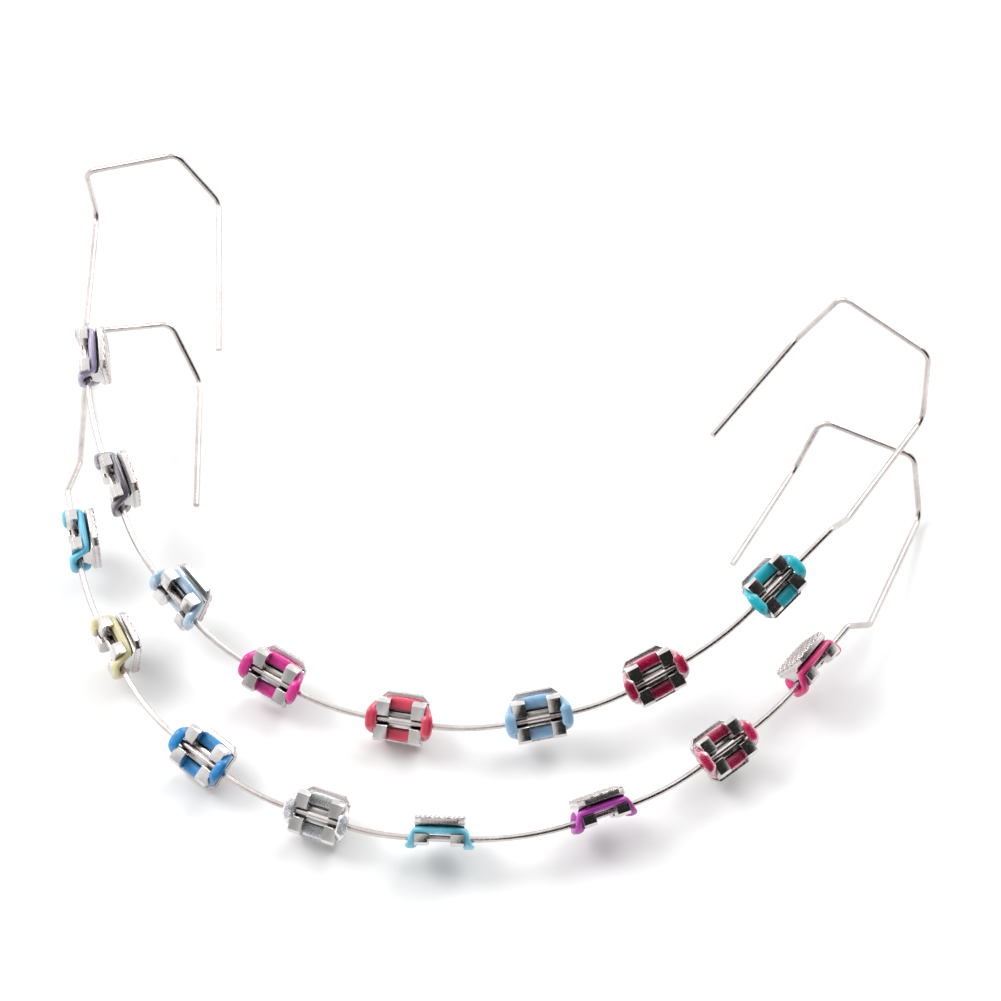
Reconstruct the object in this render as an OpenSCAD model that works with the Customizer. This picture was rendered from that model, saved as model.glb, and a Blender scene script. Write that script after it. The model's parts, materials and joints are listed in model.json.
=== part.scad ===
// Two orthodontic arch wires with brackets, one lying over the other.
// Millimetres, +Z up, +X to the patient's left, -Y towards the front teeth.

/* [Wire] */
// Diameter of the round arch wire
wire_d = 0.41; // [0.35:0.01:0.46]
// Radius of the front part of each arch
front_r = 24.4; // [22:0.1:27]
// Half angle that the front part covers
front_angle = 48.5; // [40:0.5:56]
// Radius of the two side parts of each arch
side_r = 37; // [30:0.5:45]
// Angle that each side part covers
side_angle = 22; // [15:0.5:28]
// Bend radius at the step before each molar clip
step_bend_r = 0.5; // [0.4:0.1:1]
// Bend radius at the corners of each molar clip
clip_bend_r = 0.9; // [0.6:0.1:1.5]

/* [Lying position] */
// Height of the lower arch's front wire above the table
lower_height = 2.08; // [1.9:0.02:4]
// Backward tilt of the lower arch
lower_tilt = 2.5; // [0:0.5:6]
// Height of the upper arch's front wire above the table
upper_height = 2.06; // [1.9:0.02:4]
// Backward tilt of the upper arch, which leans on the lower arch's clips
upper_tilt = 15.5; // [13:0.5:20]
// How far behind the lower arch the upper arch starts
upper_back = 8.8; // [7:0.1:11]
// Sideways shift of the upper arch
upper_side = -1.4; // [-3:0.1:3]
// Turn of the upper arch about the upright
upper_turn = -0.5; // [-3:0.1:3]

/* [Bracket] */
// Length of a bracket along the wire, over its wings
bracket_l = 3.15; // [2.6:0.05:3.6]
// Height of a bracket over its wing tips
bracket_h = 2.8; // [2.4:0.05:3.4]
// Length of one wing along the wire
wing_l = 0.85; // [0.7:0.05:1.1]
// Height of the slot that takes the wire
slot_h = 0.56; // [0.46:0.01:0.58]
// Depth of the slot
slot_depth = 0.71; // [0.6:0.01:0.8]
// Distance from the wire's centre to the front of the wings
wing_front = 0.45; // [0.4:0.01:0.5]
// Distance from the wire's centre back to the bonding pad
pad_from_wire = 1; // [1:0.05:1.3]

/* [Bonding pad] */
// Thickness of the bonding pad
pad_t = 0.3; // [0.2:0.05:0.4]
// Length of the bonding pad along the wire
pad_l = 3.15; // [2.8:0.05:3.6]
// Height of the bonding pad
pad_h = 3.25; // [2.8:0.05:3.6]
// Cut across each corner of the bonding pad
pad_corner = 0.4; // [0.2:0.05:0.6]

/* [Elastic tie] */
// Thickness of the elastic tie
tie_t = 0.42; // [0.36:0.02:0.44]
// Half the distance between the tie's two crossings over the wire
tie_reach = 1.82; // [1.82:0.01:2]

/* [Hidden] */
wire_r = wire_d / 2;
wing_end = bracket_l / 2;
wing_start = wing_end - wing_l;
slot_floor = wing_front - slot_depth;
wing_tip = bracket_h / 2;
// The part stands with its middle over the origin
centre_x = 0.77;
centre_y = -20.75;
// Fineness of round surfaces
$fn = 48;

// Places of the brackets, measured along the wire from the middle of the arch
upper_places = [-35, -25.5, -16, -7.5, 1.5, 10.5, 18.5, 28.5];
lower_places = [-31.5, -22.5, -12, -3, 5, 15.5, 25, 33.5];
// Turn of each bracket about the wire, positive with the slot looking up
upper_spins = [0, 5, 28, 56, 56, 56, 60, 68];
lower_spins = [0, 8, 57, 50, -35, -35, 60, -30];
// Ends of the arch part, before the steps
upper_ends = [-37.1, 33.8];
lower_ends = [-35.6, 37.5];

// Corners of the hand-bent molar clips: step, low back corner, top back corner,
// inner back corner, return corner and free end
upper_left_clip = [[-26.5, 23.3, -1.4], [-28.8, 32.7, -4], [-29.1, 33.3, 1],
    [-23.1, 35.2, 2.4], [-20.2, 34, -1], [-17.1, 23.1, -0.3]];
upper_right_clip = [[26.1, 20.8, -1.4], [29, 30, -4], [28.9, 32.4, 1],
    [22.6, 34.6, 2.4], [19.9, 32.4, -1], [16.3, 24.2, -0.3]];
lower_left_clip = [[-26, 24, -0.8], [-28.4, 32.6, -3.55], [-27.8, 33.6, 1],
    [-22.6, 34.4, 2.4], [-20.2, 32.6, -1], [-17.4, 22.2, -0.3]];
lower_right_clip = [[27.6, 24.3, -1.4], [28.7, 35, -3.4], [27.8, 36.6, 1],
    [21.4, 37, 2.4], [20.1, 35.1, -1], [18, 26.1, -0.3]];

// Colours of the elastic ties
upper_ties = [[0.62, 0.58, 0.72], [0.33, 0.30, 0.36], [0.62, 0.74, 0.86],
    [0.88, 0.20, 0.52], [0.90, 0.30, 0.38], [0.62, 0.80, 0.93],
    [0.72, 0.12, 0.30], [0.20, 0.75, 0.82]];
lower_ties = [[0.35, 0.76, 0.92], [0.85, 0.80, 0.62], [0.15, 0.42, 0.86],
    [0.80, 0.82, 0.84], [0.60, 0.85, 0.92], [0.70, 0.28, 0.62],
    [0.85, 0.25, 0.42], [0.92, 0.25, 0.58]];

// Curve of the arch: heading and position at a distance s from the middle
front_len = front_r * front_angle * PI / 180;
side_len = side_r * side_angle * PI / 180;
function side_turn(s) = min(max(s - front_len, 0), side_len) / side_r * 180 / PI;
function front_turn(s) = min(s, front_len) / front_r * 180 / PI;
function half_heading(s) = front_turn(s) + side_turn(s);
function heading(s) = s < 0 ? -half_heading(-s) : half_heading(s);
function front_x(a) = front_r * sin(a);
function front_y(a) = front_r * (1 - cos(a));
function half_x(s) = front_x(front_turn(s))
    + side_r * (sin(half_heading(s)) - sin(front_turn(s)))
    + max(s - front_len - side_len, 0) * cos(half_heading(s));
function half_y(s) = front_y(front_turn(s))
    + side_r * (cos(front_turn(s)) - cos(half_heading(s)))
    + max(s - front_len - side_len, 0) * sin(half_heading(s));
function point_at(s) = [s < 0 ? -half_x(-s) : half_x(s), half_y(abs(s)), 0];
function along(s) = [cos(heading(s)), sin(heading(s)), 0];

// The wire is straight inside each slot, so a bend lies between two neighbours,
// where their two straight lines meet
function cross_z(a, b) = a[0] * b[1] - a[1] * b[0];
function meet(s, t) = point_at(s)
    + along(s) * cross_z(point_at(t) - point_at(s), along(t)) / cross_z(along(s), along(t));
function bends(places) = [for (i = [0 : len(places) - 2]) meet(places[i], places[i + 1])];
function bend_room(p, places) = min(norm(p - point_at(places[0])),
    norm(p - point_at(places[1]))) - 1.65;
function half_turn(places) = (heading(places[1]) - heading(places[0])) / 2;
function bend_rs(places) = [for (i = [0 : len(places) - 2])
    let (pair = [places[i], places[i + 1]])
    bend_room(meet(pair[0], pair[1]), pair) / tan(half_turn(pair))];
function reversed(list) = [for (i = [len(list) - 1 : -1 : 0]) list[i]];

// Whole wire as a list of corners, and the bend radius at each
function end_point(places, i, s) = point_at(places[i])
    + along(places[i]) * (s - places[i]);
function wire_corners(places, ends, left, right) = concat(
    reversed(left), [end_point(places, 0, ends[0])], bends(places),
    [end_point(places, 7, ends[1])], right);
function clip_radii() = [step_bend_r, clip_bend_r, clip_bend_r, clip_bend_r, clip_bend_r];
function wire_radii(places) = concat([0], reversed(clip_radii()), [step_bend_r],
    bend_rs(places), [step_bend_r], clip_radii(), [0]);

// Round rod bent the way a wire bender does it: feed, bend, turn the wire, feed.
// Each step stands in the space that the step before leaves, with Z along the wire
// and X towards the inside of the next bend. A bend is drawn a little thinner.
bend_thinning = 0.005;
straight_lap = 0.03;
function unit(v) = v / norm(v);
function course(p, i) = unit(p[i + 1] - p[i]);
function turn(p, i) = acos(course(p, i - 1) * course(p, i));
function setback(p, r, i) = i == 0 || i == len(p) - 1 ? 0 : r[i] * tan(turn(p, i) / 2);
function feed(p, r, i) = norm(p[i] - p[i - 1]) - setback(p, r, i - 1) - setback(p, r, i);
function normal(p, i) = unit(cross(course(p, i - 1), course(p, i)));
function twist(p, i) = i == len(p) - 2 ? 0
    : atan2(cross(normal(p, i), normal(p, i + 1)) * course(p, i), normal(p, i) * normal(p, i + 1));
module bent_wire_from(p, r, i) {
    lead = i == 1 ? 0 : straight_lap;
    translate([0, 0, -lead])
        cylinder(h = lead + feed(p, r, i) + (i == len(p) - 1 ? 0 : straight_lap), r = wire_r);
    if (i < len(p) - 1)
        translate([0, 0, feed(p, r, i)]) {
            translate([r[i], 0, 0])
                rotate([90, 0, 180])
                    rotate_extrude(angle = turn(p, i))
                        translate([r[i], 0])
                            circle(r = wire_r - bend_thinning);
            translate([r[i], 0, 0])
                rotate([0, turn(p, i), 0])
                    translate([-r[i], 0, 0])
                        rotate([0, 0, twist(p, i)])
                            bent_wire_from(p, r, i + 1);
        }
}
module bent_wire(p, r) {
    u = course(p, 0);
    inward = cross(normal(p, 1), u);
    polar = acos(u[2]);
    azimuth = atan2(u[1], u[0]);
    side_x = [cos(azimuth) * cos(polar), sin(azimuth) * cos(polar), -sin(polar)];
    side_y = [-sin(azimuth), cos(azimuth), 0];
    translate(p[0])
        rotate([0, polar, azimuth])
            rotate([0, 0, atan2(inward * side_y, inward * side_x)])
                bent_wire_from(p, r, 1);
}

// Where each arch lies
module in_lower_arch() {
    translate([centre_x, centre_y, lower_height])
        rotate([lower_tilt, 0, 0])
            children();
}
module in_upper_arch() {
    translate([centre_x + upper_side, centre_y + upper_back, upper_height])
        rotate([upper_tilt, 0, upper_turn])
            children();
}
// A bracket's own space: X along the wire, Z out of the slot
module on_wire(s, spin) {
    translate(point_at(s))
        rotate([90 - spin, 0, heading(s)])
            children();
}

// Side outline of a bracket, half of it: slot, wing with its hooked tip, neck, foot
module wing_half() {
    polygon([[0, slot_floor], [slot_h / 2, slot_floor],
        [slot_h / 2, wing_front - 0.1], [slot_h / 2 + 0.06, wing_front],
        [wing_tip - 0.2, wing_front], [wing_tip, wing_front - 0.2],
        [wing_tip, -0.3], [wing_tip - 0.18, -0.3], [wing_tip - 0.3, -0.18],
        [0.8, -0.18], [0.68, -0.28], [0.68, -0.72], [1.05, -0.82],
        [1.2, -pad_from_wire], [0, -pad_from_wire]]);
}
module neck_half() {
    polygon([[0, slot_floor], [0.5, slot_floor], [0.5, -0.7],
        [1.05, -0.82], [1.2, -pad_from_wire], [0, -pad_from_wire]]);
}
module both_halves() {
    children();
    mirror([1, 0])
        children();
}
module along_x(from, length) {
    translate([from, 0, 0])
        rotate([90, 0, 90])
            linear_extrude(length)
                children();
}
module bracket() {
    color([0.72, 0.70, 0.70]) {
        for (side = [-wing_end, wing_start])
            along_x(side, wing_l)
                both_halves()
                    wing_half();
        along_x(-wing_start, 2 * wing_start)
            both_halves()
                neck_half();
    }
}
module pad() {
    x = pad_l / 2;
    y = pad_h / 2;
    c = pad_corner;
    color([0.80, 0.72, 0.70])
        translate([0, 0, -pad_from_wire - pad_t])
            linear_extrude(pad_t)
                polygon([[x - c, -y], [x, c - y], [x, y - c], [x - c, y],
                    [c - x, y], [-x, y - c], [-x, c - y], [c - x, -y]]);
}

// Elastic tie: behind the upper and lower wings, and over the wire at both sides
tie_r = tie_t / 2;
tie_side = 0.95;
tie_behind = -0.48;
tie_over = 0.48;
low_bend = 0.28;
high_bend = 0.45;
module strand(from, length, turned) {
    translate(from)
        rotate(turned)
            cylinder(h = length, r = tie_r);
}
module quarter(centre, turned, bend_r) {
    translate(centre)
        rotate(turned)
            rotate_extrude(angle = 90)
                translate([bend_r, 0])
                    circle(r = tie_r);
}
module tie_quarter() {
    run = tie_reach - low_bend;
    low = tie_behind + low_bend;
    high = tie_over - high_bend;
    strand([0, tie_side, tie_behind], run, [0, 90, 0]);
    quarter([run, tie_side, low], [-90, 0, 0], low_bend);
    strand([tie_reach, tie_side, low], high - low, [0, 0, 0]);
    quarter([tie_reach, tie_side - high_bend, high], [90, 0, 90], high_bend);
    strand([tie_reach, 0, tie_over], tie_side - high_bend, [-90, 0, 0]);
}
module tie(tint) {
    color(tint)
        for (m = [0, 1], n = [0, 1])
            mirror([m, 0, 0])
                mirror([0, n, 0])
                    tie_quarter();
}

module upper_at(i) {
    in_upper_arch()
        on_wire(upper_places[i], upper_spins[i])
            children();
}
module lower_at(i) {
    in_lower_arch()
        on_wire(lower_places[i], lower_spins[i])
            children();
}

module arch_wire_a() {
    color([0.75, 0.72, 0.71])
        in_upper_arch()
            bent_wire(wire_corners(upper_places, upper_ends, upper_left_clip, upper_right_clip),
                wire_radii(upper_places));
}
module arch_wire_b() {
    color([0.75, 0.72, 0.71])
        in_lower_arch()
            bent_wire(wire_corners(lower_places, lower_ends, lower_left_clip, lower_right_clip),
                wire_radii(lower_places));
}

module bracket_a1() {
    upper_at(0)
        bracket();
}
module bracket_a2() {
    upper_at(1)
        bracket();
}
module bracket_a3() {
    upper_at(2)
        bracket();
}
module bracket_a4() {
    upper_at(3)
        bracket();
}
module bracket_a5() {
    upper_at(4)
        bracket();
}
module bracket_a6() {
    upper_at(5)
        bracket();
}
module bracket_a7() {
    upper_at(6)
        bracket();
}
module bracket_a8() {
    upper_at(7)
        bracket();
}
module bracket_b1() {
    lower_at(0)
        bracket();
}
module bracket_b2() {
    lower_at(1)
        bracket();
}
module bracket_b3() {
    lower_at(2)
        bracket();
}
module bracket_b4() {
    lower_at(3)
        bracket();
}
module bracket_b5() {
    lower_at(4)
        bracket();
}
module bracket_b6() {
    lower_at(5)
        bracket();
}
module bracket_b7() {
    lower_at(6)
        bracket();
}
module bracket_b8() {
    lower_at(7)
        bracket();
}
module pad_a1() {
    upper_at(0)
        pad();
}
module pad_a2() {
    upper_at(1)
        pad();
}
module pad_a3() {
    upper_at(2)
        pad();
}
module pad_a4() {
    upper_at(3)
        pad();
}
module pad_a5() {
    upper_at(4)
        pad();
}
module pad_a6() {
    upper_at(5)
        pad();
}
module pad_a7() {
    upper_at(6)
        pad();
}
module pad_a8() {
    upper_at(7)
        pad();
}
module pad_b1() {
    lower_at(0)
        pad();
}
module pad_b2() {
    lower_at(1)
        pad();
}
module pad_b3() {
    lower_at(2)
        pad();
}
module pad_b4() {
    lower_at(3)
        pad();
}
module pad_b5() {
    lower_at(4)
        pad();
}
module pad_b6() {
    lower_at(5)
        pad();
}
module pad_b7() {
    lower_at(6)
        pad();
}
module pad_b8() {
    lower_at(7)
        pad();
}
module tie_a1() {
    upper_at(0)
        tie(upper_ties[0]);
}
module tie_a2() {
    upper_at(1)
        tie(upper_ties[1]);
}
module tie_a3() {
    upper_at(2)
        tie(upper_ties[2]);
}
module tie_a4() {
    upper_at(3)
        tie(upper_ties[3]);
}
module tie_a5() {
    upper_at(4)
        tie(upper_ties[4]);
}
module tie_a6() {
    upper_at(5)
        tie(upper_ties[5]);
}
module tie_a7() {
    upper_at(6)
        tie(upper_ties[6]);
}
module tie_a8() {
    upper_at(7)
        tie(upper_ties[7]);
}
module tie_b1() {
    lower_at(0)
        tie(lower_ties[0]);
}
module tie_b2() {
    lower_at(1)
        tie(lower_ties[1]);
}
module tie_b3() {
    lower_at(2)
        tie(lower_ties[2]);
}
module tie_b4() {
    lower_at(3)
        tie(lower_ties[3]);
}
module tie_b5() {
    lower_at(4)
        tie(lower_ties[4]);
}
module tie_b6() {
    lower_at(5)
        tie(lower_ties[5]);
}
module tie_b7() {
    lower_at(6)
        tie(lower_ties[6]);
}
module tie_b8() {
    lower_at(7)
        tie(lower_ties[7]);
}

arch_wire_a();
arch_wire_b();
bracket_a1();
bracket_a2();
bracket_a3();
bracket_a4();
bracket_a5();
bracket_a6();
bracket_a7();
bracket_a8();
bracket_b1();
bracket_b2();
bracket_b3();
bracket_b4();
bracket_b5();
bracket_b6();
bracket_b7();
bracket_b8();
pad_a1();
pad_a2();
pad_a3();
pad_a4();
pad_a5();
pad_a6();
pad_a7();
pad_a8();
pad_b1();
pad_b2();
pad_b3();
pad_b4();
pad_b5();
pad_b6();
pad_b7();
pad_b8();
tie_a1();
tie_a2();
tie_a3();
tie_a4();
tie_a5();
tie_a6();
tie_a7();
tie_a8();
tie_b1();
tie_b2();
tie_b3();
tie_b4();
tie_b5();
tie_b6();
tie_b7();
tie_b8();
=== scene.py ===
import bpy, math
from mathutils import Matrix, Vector
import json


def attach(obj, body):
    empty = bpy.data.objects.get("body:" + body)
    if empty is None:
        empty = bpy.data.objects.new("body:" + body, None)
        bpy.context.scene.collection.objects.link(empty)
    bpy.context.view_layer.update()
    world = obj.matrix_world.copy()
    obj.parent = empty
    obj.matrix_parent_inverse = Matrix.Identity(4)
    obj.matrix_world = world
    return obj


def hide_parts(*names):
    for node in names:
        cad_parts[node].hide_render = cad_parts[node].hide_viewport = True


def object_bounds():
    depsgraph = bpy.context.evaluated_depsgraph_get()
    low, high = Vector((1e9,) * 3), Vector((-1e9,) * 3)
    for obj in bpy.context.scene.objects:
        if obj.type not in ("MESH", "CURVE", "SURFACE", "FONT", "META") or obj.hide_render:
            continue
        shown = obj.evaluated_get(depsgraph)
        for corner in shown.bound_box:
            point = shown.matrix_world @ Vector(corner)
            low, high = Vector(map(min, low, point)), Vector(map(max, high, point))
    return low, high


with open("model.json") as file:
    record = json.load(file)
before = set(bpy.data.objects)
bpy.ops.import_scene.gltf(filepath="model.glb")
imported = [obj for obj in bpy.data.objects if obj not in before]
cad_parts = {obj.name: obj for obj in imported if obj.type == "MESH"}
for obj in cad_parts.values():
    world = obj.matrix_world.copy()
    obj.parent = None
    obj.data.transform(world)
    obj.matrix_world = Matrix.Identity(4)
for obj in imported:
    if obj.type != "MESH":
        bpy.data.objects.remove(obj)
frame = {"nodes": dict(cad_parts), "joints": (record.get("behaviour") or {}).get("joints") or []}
cad_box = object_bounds()
nodes = frame["nodes"]
scene = bpy.context.scene

# Sizes of one bracket in millimetres, in its own space: X along the wire, Z out of the slot
MM = 0.001
PAD_X, PAD_Y = 3.15, 3.25
PAD_BACK = -1.3
FOOT_X, FOOT_Y, FOOT_Z = 3.15, 2.4, -0.99
TIE_REACH, TIE_SIDE, TIE_BEHIND = 1.84, 1.02, -0.53
SHORT_TIES = {"a1": 1.66}  # the wire steps aside close to bracket A1


# ---------------------------------------------------------------- materials
class Look:
    """A procedural material, built node by node."""

    def __init__(self, name):
        self.mat = bpy.data.materials.new(name)
        self.mat.use_nodes = True
        self.t = self.mat.node_tree
        self.t.nodes.clear()
        self.out = self.add("ShaderNodeOutputMaterial")
        self.bsdf = self.add("ShaderNodeBsdfPrincipled")
        self.link(self.bsdf.outputs[0], self.out.inputs["Surface"])
        self.coord = self.add("ShaderNodeTexCoord").outputs["Object"]

    def add(self, kind, **props):
        n = self.t.nodes.new(kind)
        for k, v in props.items():
            setattr(n, k, v)
        return n

    def link(self, a, b):
        self.t.links.new(a, b)

    def set(self, **values):
        for k, v in values.items():
            self.bsdf.inputs[k.replace("_", " ")].default_value = v

    def stretched(self, vector):
        m = self.add("ShaderNodeMapping")
        m.inputs["Scale"].default_value = vector
        self.link(self.coord, m.inputs["Vector"])
        return m.outputs[0]

    def noise(self, scale, detail=4.0, rough=0.55, vector=None):
        n = self.add("ShaderNodeTexNoise")
        n.inputs["Scale"].default_value = scale
        n.inputs["Detail"].default_value = detail
        n.inputs["Roughness"].default_value = rough
        self.link(vector or self.coord, n.inputs["Vector"])
        return n.outputs["Fac"]

    def ramp(self, fac, stops):
        r = self.add("ShaderNodeValToRGB")
        while len(r.color_ramp.elements) > 1:
            r.color_ramp.elements.remove(r.color_ramp.elements[-1])
        for i, (pos, col) in enumerate(stops):
            e = r.color_ramp.elements[0] if i == 0 else r.color_ramp.elements.new(pos)
            e.position = pos
            e.color = (*col, 1) if len(col) == 3 else col
        self.link(fac, r.inputs["Fac"])
        return r.outputs["Color"]

    def fit(self, fac, lo, hi, a=0.3, b=0.7):
        m = self.add("ShaderNodeMapRange")
        m.inputs["From Min"].default_value = a
        m.inputs["From Max"].default_value = b
        m.inputs["To Min"].default_value = lo
        m.inputs["To Max"].default_value = hi
        self.link(fac, m.inputs["Value"])
        return m.outputs[0]

    def mix(self, fac, a, b, mode="MIX"):
        m = self.add("ShaderNodeMix", data_type="RGBA", blend_type=mode)
        if isinstance(fac, float):
            m.inputs["Factor"].default_value = fac
        else:
            self.link(fac, m.inputs["Factor"])
        for sock, v in (("A", a), ("B", b)):
            s = [i for i in m.inputs if i.name == sock and i.type == "RGBA"][0]
            if isinstance(v, tuple):
                s.default_value = (*v, 1)
            else:
                self.link(v, s)
        return [o for o in m.outputs if o.type == "RGBA"][0]

    def occlusion(self, distance):
        a = self.add("ShaderNodeAmbientOcclusion", samples=6)
        a.inputs["Distance"].default_value = distance
        return a.outputs["AO"]

    def bump(self, heights):
        last = None
        for height, strength, distance in heights:
            b = self.add("ShaderNodeBump")
            b.inputs["Strength"].default_value = strength
            b.inputs["Distance"].default_value = distance
            self.link(height, b.inputs["Height"])
            if last is not None:
                self.link(last, b.inputs["Normal"])
            last = b.outputs[0]
        self.link(last, self.bsdf.inputs["Normal"])


# the last argument sets how strongly painted shade darkens the steel in recesses
def steel(name, tint, dull, rough, casting, recess_shade_amount):
    k = Look(name)
    broad = k.noise(500, 3.0)
    fine = k.noise(9000, 5.0, 0.65)
    drawn = k.noise(7000, 3.0, 0.6, k.stretched((1, 1, 0.15)))
    spots = k.noise(3500, 6.0, 0.7)
    col = k.mix(k.fit(broad, 0.0, 1.0), tint, dull)
    col = k.mix(k.fit(spots, 0.0, 0.35, 0.58, 0.75), col, (0.36, 0.30, 0.28))
    # painted shade: the colour is darkened towards near-black in recesses and between parts,
    # driven by ambient occlusion
    recess_shade = k.fit(k.occlusion(0.0006), recess_shade_amount, 0.0, 0.15, 0.8)
    col = k.mix(recess_shade, col, (0.05, 0.042, 0.04))
    k.link(col, k.bsdf.inputs["Base Color"])
    r = k.add("ShaderNodeMath", operation="ADD")
    k.link(k.fit(fine, rough - 0.05, rough + 0.09), r.inputs[0])
    k.link(k.fit(spots, 0.0, 0.16, 0.5, 0.75), r.inputs[1])
    k.link(r.outputs[0], k.bsdf.inputs["Roughness"])
    k.set(Metallic=1.0)
    k.bump([(fine, casting, 0.00001), (drawn, casting * 0.8, 0.000008), (broad, casting, 0.00004)])
    return k.mat


def elastic(name, colour, deep, clear, rough):
    k = Look(name)
    soft = k.noise(700, 3.0)
    grain = k.noise(12000, 4.0, 0.6)
    dust = k.noise(5200, 6.0, 0.75)
    col = k.mix(k.fit(soft, 0.0, 1.0), colour, deep)
    # painted shade: the tie turns towards its deep colour in hollows and where it meets the
    # bracket, driven by ambient occlusion
    col = k.mix(k.fit(k.occlusion(0.0005), 0.55, 0.0, 0.1, 0.75), col, deep)
    col = k.mix(k.fit(dust, 0.0, 0.22, 0.64, 0.78), col, (0.9, 0.88, 0.88))
    k.link(col, k.bsdf.inputs["Base Color"])
    k.link(k.fit(grain, rough - 0.06, rough + 0.12), k.bsdf.inputs["Roughness"])
    k.set(Subsurface_Weight=0.35 * (1 - clear), Subsurface_Scale=0.0006, IOR=1.5,
          Subsurface_Radius=(1.0, 0.7, 0.6), Transmission_Weight=clear,
          Coat_Weight=0.25, Coat_Roughness=0.12)
    k.bump([(grain, 0.12, 0.00001), (soft, 0.25, 0.00005), (dust, 0.15, 0.000012)])
    return k.mat


WIRE = steel("wire_steel", (0.74, 0.69, 0.67), (0.56, 0.50, 0.49), 0.20, 0.25, 0.3)
CAST = steel("bracket_steel", (0.80, 0.78, 0.77), (0.60, 0.57, 0.56), 0.13, 0.35, 0.8)
FOIL = steel("pad_foil", (0.84, 0.79, 0.78), (0.66, 0.60, 0.60), 0.24, 0.4, 0.6)
MESH = steel("pad_mesh", (0.80, 0.74, 0.73), (0.52, 0.46, 0.46), 0.20, 0.35, 0.85)

# colour, deep colour, clearness, roughness of each elastic tie
TIES = {
    "a1": ((0.50, 0.45, 0.62), (0.30, 0.26, 0.42), 0.15, 0.30),
    "a2": ((0.16, 0.13, 0.18), (0.06, 0.05, 0.08), 0.25, 0.26),
    "a3": ((0.46, 0.66, 0.82), (0.25, 0.42, 0.60), 0.25, 0.28),
    "a4": ((0.84, 0.03, 0.36), (0.55, 0.01, 0.22), 0.05, 0.30),
    "a5": ((0.90, 0.08, 0.14), (0.62, 0.03, 0.09), 0.10, 0.30),
    "a6": ((0.38, 0.62, 0.84), (0.20, 0.40, 0.62), 0.10, 0.30),
    "a7": ((0.62, 0.01, 0.10), (0.32, 0.00, 0.05), 0.45, 0.24),
    "a8": ((0.02, 0.56, 0.66), (0.01, 0.34, 0.44), 0.05, 0.30),
    "b1": ((0.14, 0.62, 0.85), (0.07, 0.40, 0.62), 0.05, 0.30),
    "b2": ((0.72, 0.66, 0.36), (0.52, 0.46, 0.22), 0.10, 0.32),
    "b3": ((0.01, 0.29, 0.66), (0.00, 0.15, 0.42), 0.05, 0.30),
    "b4": ((0.80, 0.82, 0.84), (0.58, 0.61, 0.64), 0.70, 0.22),
    "b5": ((0.22, 0.70, 0.86), (0.10, 0.48, 0.66), 0.10, 0.30),
    "b6": ((0.56, 0.05, 0.50), (0.34, 0.02, 0.31), 0.05, 0.30),
    "b7": ((0.72, 0.02, 0.14), (0.40, 0.01, 0.07), 0.40, 0.24),
    "b8": ((0.90, 0.05, 0.28), (0.60, 0.02, 0.17), 0.05, 0.30),
}


# ---------------------------------------------------------------- geometry
def mesh_object(name, verts, faces, mat, smooth=True):
    me = bpy.data.meshes.new(name)
    me.from_pydata([tuple(v) for v in verts], [], faces)
    me.update()
    o = bpy.data.objects.new(name, me)
    scene.collection.objects.link(o)
    me.materials.append(mat)
    for p in me.polygons:
        p.use_smooth = smooth
    return o


def loop_faces(n, m):
    """Faces of a closed loop of n rings with m points each."""
    return [(i * m + q, i * m + (q + 1) % m,
             ((i + 1) % n) * m + (q + 1) % m, ((i + 1) % n) * m + q)
            for i in range(n) for q in range(m)]


class Seat:
    """The space of one bracket, from its hinge and from where its pad lies."""

    def __init__(self, key):
        j = [q for q in frame["joints"] if q["name"] == "spin_" + key][0]
        pad = nodes["pad_" + key]
        corners = [pad.matrix_world @ v.co for v in pad.data.vertices]
        self.p = Vector(j["pos_m"])
        self.x = Vector(j["axis"]).normalized()
        back = sum(corners, Vector()) / len(corners) - self.p
        self.z = -(back - self.x * back.dot(self.x)).normalized()
        self.y = self.z.cross(self.x)

    def at(self, v):
        return self.p + (self.x * v[0] + self.y * v[1] + self.z * v[2]) * MM


def tie_ring(reach, count=120):
    """Once round a stretched tie: each centre, and how far it is on the lobe (0 to 1).

    It runs flat behind the wings and swells into a rounded lobe over the wire at each end.
    """
    out = []
    for i in range(count):
        a = 2 * math.pi * i / count
        c, s = math.cos(a), math.sin(a)
        end = max(0.0, abs(c) - 0.6) / 0.4  # 0 behind the wings, 1 over the wire
        end = end * end * (3 - 2 * end)
        x = math.copysign(abs(c) ** 0.78, c) * reach
        y = math.copysign(abs(s) ** 0.6, s) * TIE_SIDE
        z = TIE_BEHIND + 0.99 * end ** 2
        out.append(((x, y, z), end))
    return out


def make_tie(key):
    seat = Seat(key)
    ring = tie_ring(SHORT_TIES.get(key, TIE_REACH))
    n, m = len(ring), 24
    squareness = 2.3  # 2 is round
    verts = []
    for i, (c, end) in enumerate(ring):
        c = Vector(c)
        along = (Vector(ring[(i + 1) % n][0]) - Vector(ring[i - 1][0])).normalized()
        out = Vector((along.y, -along.x, 0)).normalized()
        if out.dot(Vector((c.x, c.y, 0))) < 0:
            out = -out
        up = out.cross(along).normalized()
        if up.z < 0:
            up = -up
        wide = 0.42 - 0.06 * end  # half size in the plane of the pad
        thick = 0.25 - 0.03 * end
        for q in range(m):
            t = 2 * math.pi * q / m
            u, v = math.cos(t), math.sin(t)
            k = 1.0 / (abs(u) ** squareness + abs(v) ** squareness) ** (1 / squareness)
            seam = 0.012 if q == 0 else 0.0  # moulding line round the outside
            p = c + out * u * k * (wide + seam) + up * v * k * thick
            verts.append(seat.at(p))
    o = mesh_object("elastic_" + key, verts, loop_faces(n, m),
                    elastic("elastic_" + key, *TIES[key]))
    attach(o, "brace_" + key)
    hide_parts("tie_" + key)


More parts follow.
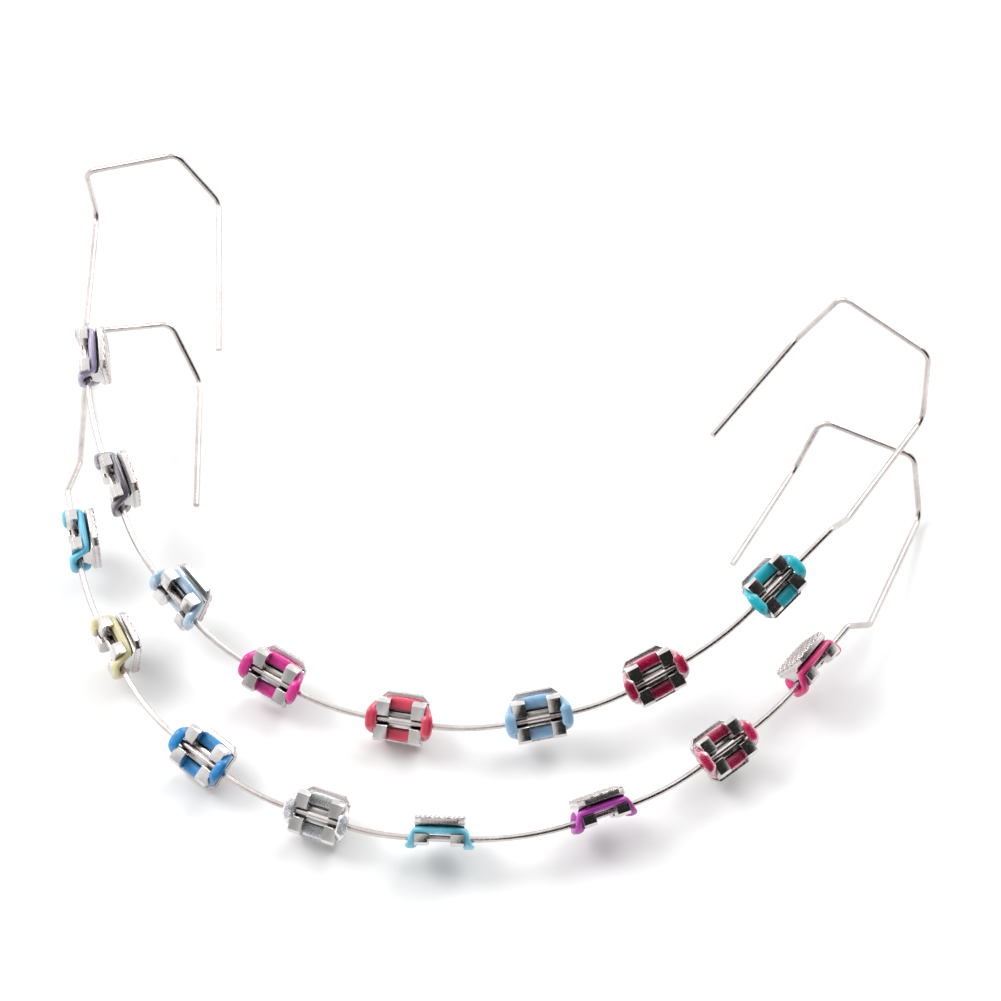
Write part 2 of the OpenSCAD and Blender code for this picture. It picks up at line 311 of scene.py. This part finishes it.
def tube(verts, faces, line, r, sides=6):
    """A thin round strand along a list of points, with closed ends."""
    start = len(verts)
    for i, p in enumerate(line):
        d = (line[min(i + 1, len(line) - 1)] - line[max(i - 1, 0)]).normalized()
        a = d.cross(Vector((0, 0, 1)) if abs(d.z) < 0.9 else Vector((1, 0, 0))).normalized()
        b = d.cross(a)
        for q in range(sides):
            t = 2 * math.pi * q / sides
            verts.append(p + (a * math.cos(t) + b * math.sin(t)) * r)
    for i in range(len(line) - 1):
        for q in range(sides):
            faces.append((start + i * sides + q, start + i * sides + (q + 1) % sides,
                          start + (i + 1) * sides + (q + 1) % sides, start + (i + 1) * sides + q))
    end = start + (len(line) - 1) * sides
    faces.append(tuple(start + q for q in reversed(range(sides))))
    faces.append(tuple(end + q for q in range(sides)))


def make_pad_mesh(key):
    """The woven steel mesh on the back of a pad."""
    seat = Seat(key)
    verts, faces = [], []
    count, r = 11, 0.062  # wires each way, and their radius
    edge, cut, wave = 0.05, 0.36, 0.045
    hx, hy, back = PAD_X / 2 - edge, PAD_Y / 2 - edge, PAD_BACK - 0.03
    pitch_x, pitch_y = 2 * hx / (count - 1), 2 * hy / (count - 1)
    for along in (0, 1):
        for i in range(count):
            across = (-hy + i * pitch_y) if along == 0 else (-hx + i * pitch_x)
            limit, other, pitch = (hx, hy, pitch_x) if along == 0 else (hy, hx, pitch_y)
            over = max(0.0, abs(across) - (other - cut))
            half = limit - over
            line, steps = [], 44
            for k in range(steps + 1):
                s = -half + 2 * half * k / steps
                phase = math.pi * (s + limit) / pitch + (math.pi if (i + along) % 2 else 0)
                z = back + wave * math.cos(phase)
                line.append(Vector((s, across, z) if along == 0 else (across, s, z)))
            tube(verts, faces, line, r)
    o = mesh_object("pad_mesh_" + key, [seat.at(v) for v in verts], faces, MESH)
    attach(o, "brace_" + key)


def make_braze(key):
    """The small rounded seam of brazing round the bracket's foot."""
    seat = Seat(key)
    x, y, z, c = FOOT_X / 2, FOOT_Y / 2, FOOT_Z, 0.07
    verts, ring = [], []
    for cx, cy, a0 in ((x - c, y - c, 0), (c - x, y - c, 90),
                       (c - x, c - y, 180), (x - c, c - y, 270)):
        for k in range(7):
            a = math.radians(a0 + 15 * k)
            ring.append(Vector((cx + c * math.cos(a), cy + c * math.sin(a), z)))
    side, r = 8, 0.055
    n = len(ring)
    for i, p in enumerate(ring):
        d = (ring[(i + 1) % n] - ring[i - 1]).normalized()
        a = d.cross(Vector((0, 0, 1))).normalized()
        wob = 1 + 0.25 * math.sin(2.3 * i) * math.sin(1.1 * i + 2)
        for q in range(side):
            t = 2 * math.pi * q / side
            round_it = a * math.cos(t) + Vector((0, 0, 1)) * math.sin(t)
            verts.append(seat.at(p + round_it * r * wob))
    o = mesh_object("braze_" + key, verts, loop_faces(n, side), CAST)
    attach(o, "brace_" + key)


def finish_cad(o, mat, width):
    """Material and smooth shading for a CAD piece, with worn edges of the given width."""
    o.data.materials.clear()
    o.data.materials.append(mat)
    for p in o.data.polygons:
        p.use_smooth = True
    if width:
        weld = o.modifiers.new("weld", "WELD")
        weld.merge_threshold = 1e-6
        b = o.modifiers.new("worn_edges", "BEVEL")
        b.width = width
        b.segments = 3
        b.limit_method = "ANGLE"
        b.angle_limit = math.radians(30)
        b.harden_normals = True


for name, o in nodes.items():
    if name.startswith("arch_wire"):
        finish_cad(o, WIRE, 0)
    elif name.startswith("bracket"):
        finish_cad(o, CAST, 0.00006)
    elif name.startswith("pad"):
        finish_cad(o, FOIL, 0.00004)
for key in TIES:
    make_tie(key)
    make_pad_mesh(key)
    make_braze(key)


# ---------------------------------------------------------------- stage
def floor():
    k = Look("pale_table")
    n = k.noise(60, 5.0)
    pale = k.mix(k.fit(n, 0.0, 1.0), (0.93, 0.93, 0.93), (0.90, 0.90, 0.90))
    k.link(pale, k.bsdf.inputs["Base Color"])
    k.link(k.fit(n, 0.55, 0.7), k.bsdf.inputs["Roughness"])
    k.set(Specular_IOR_Level=0.2)
    s = 3.0
    o = mesh_object("table", [(-s, -s, 0), (s, -s, 0), (s, s, 0), (-s, s, 0)],
                    [(0, 1, 2, 3)], k.mat, smooth=False)
    below_mesh = 0.00012
    o.location.z = cad_box[0][2] - below_mesh


def sky():
    """Even white light with dark patches for the steel to mirror.

    Each patch: direction of its middle, cosine where it starts and where it is full, brightness.
    """
    white = 1.14
    patches = [((0.717, -0.410, 0.563), 0.66, 0.82, 0.02),
               ((-0.420, -0.740, 0.525), 0.84, 0.99, 0.40)]
    w = bpy.data.worlds.new("studio")
    scene.world = w
    w.use_nodes = True
    t = w.node_tree
    t.nodes.clear()
    out = t.nodes.new("ShaderNodeOutputWorld")
    bg = t.nodes.new("ShaderNodeBackground")
    co = t.nodes.new("ShaderNodeTexCoord")
    level = None
    for middle, start, full, dark in patches:
        dot = t.nodes.new("ShaderNodeVectorMath")
        dot.operation = "DOT_PRODUCT"
        dot.inputs[1].default_value = middle
        t.links.new(co.outputs["Generated"], dot.inputs[0])
        m = t.nodes.new("ShaderNodeMapRange")
        m.inputs["From Min"].default_value = start
        m.inputs["From Max"].default_value = full
        m.inputs["To Min"].default_value = 1.0
        m.inputs["To Max"].default_value = dark
        t.links.new(dot.outputs["Value"], m.inputs["Value"])
        both = t.nodes.new("ShaderNodeMath")
        both.operation = "MULTIPLY"
        both.inputs[0].default_value = white
        if level is not None:
            t.links.new(level, both.inputs[0])
        t.links.new(m.outputs[0], both.inputs[1])
        level = both.outputs[0]
    bg.inputs["Color"].default_value = (1.0, 1.0, 1.0, 1.0)
    t.links.new(level, bg.inputs["Strength"])
    t.links.new(bg.outputs[0], out.inputs["Surface"])


def lamp(name, place, size, power):
    d = bpy.data.lights.new(name, "AREA")
    d.size = size
    d.energy = power
    o = bpy.data.objects.new(name, d)
    scene.collection.objects.link(o)
    o.location = place
    o.rotation_euler = (Vector((0, 0, 0)) - Vector(place)).to_track_quat("-Z", "Y").to_euler()


floor()
sky()
lamp("soft_left", (-0.35, 0.05, 0.35), 0.25, 1.2)
lamp("soft_back", (0.15, 0.40, 0.40), 0.30, 1.2)

PICTURE = 1001        # pixels a side
PIXELS_PER_MM = 15.0  # at the target
DISTANCE_MM = 400
SENSOR = 36.0
cam_data = bpy.data.cameras.new("camera")
cam = bpy.data.objects.new("camera", cam_data)
scene.collection.objects.link(cam)
scene.camera = cam
target = Vector((0.00207, 0.00926, -0.00033))
az, el = math.radians(14.5), math.radians(51.0)
toward = Vector((math.cos(el) * math.sin(az), -math.cos(el) * math.cos(az), math.sin(el)))
cam.location = target + DISTANCE_MM * MM * toward
cam.rotation_euler = (target - cam.location).to_track_quat("-Z", "Y").to_euler()
cam_data.sensor_width = SENSOR
cam_data.lens = SENSOR * DISTANCE_MM / (PICTURE / PIXELS_PER_MM)
cam_data.clip_start = 0.005

scene.render.resolution_x = PICTURE
scene.render.resolution_y = PICTURE
scene.render.engine = "CYCLES"
scene.cycles.samples = 160
scene.cycles.use_denoising = True
scene.cycles.max_bounces = 10
scene.view_settings.view_transform = "Standard"
scene.view_settings.look = "None"
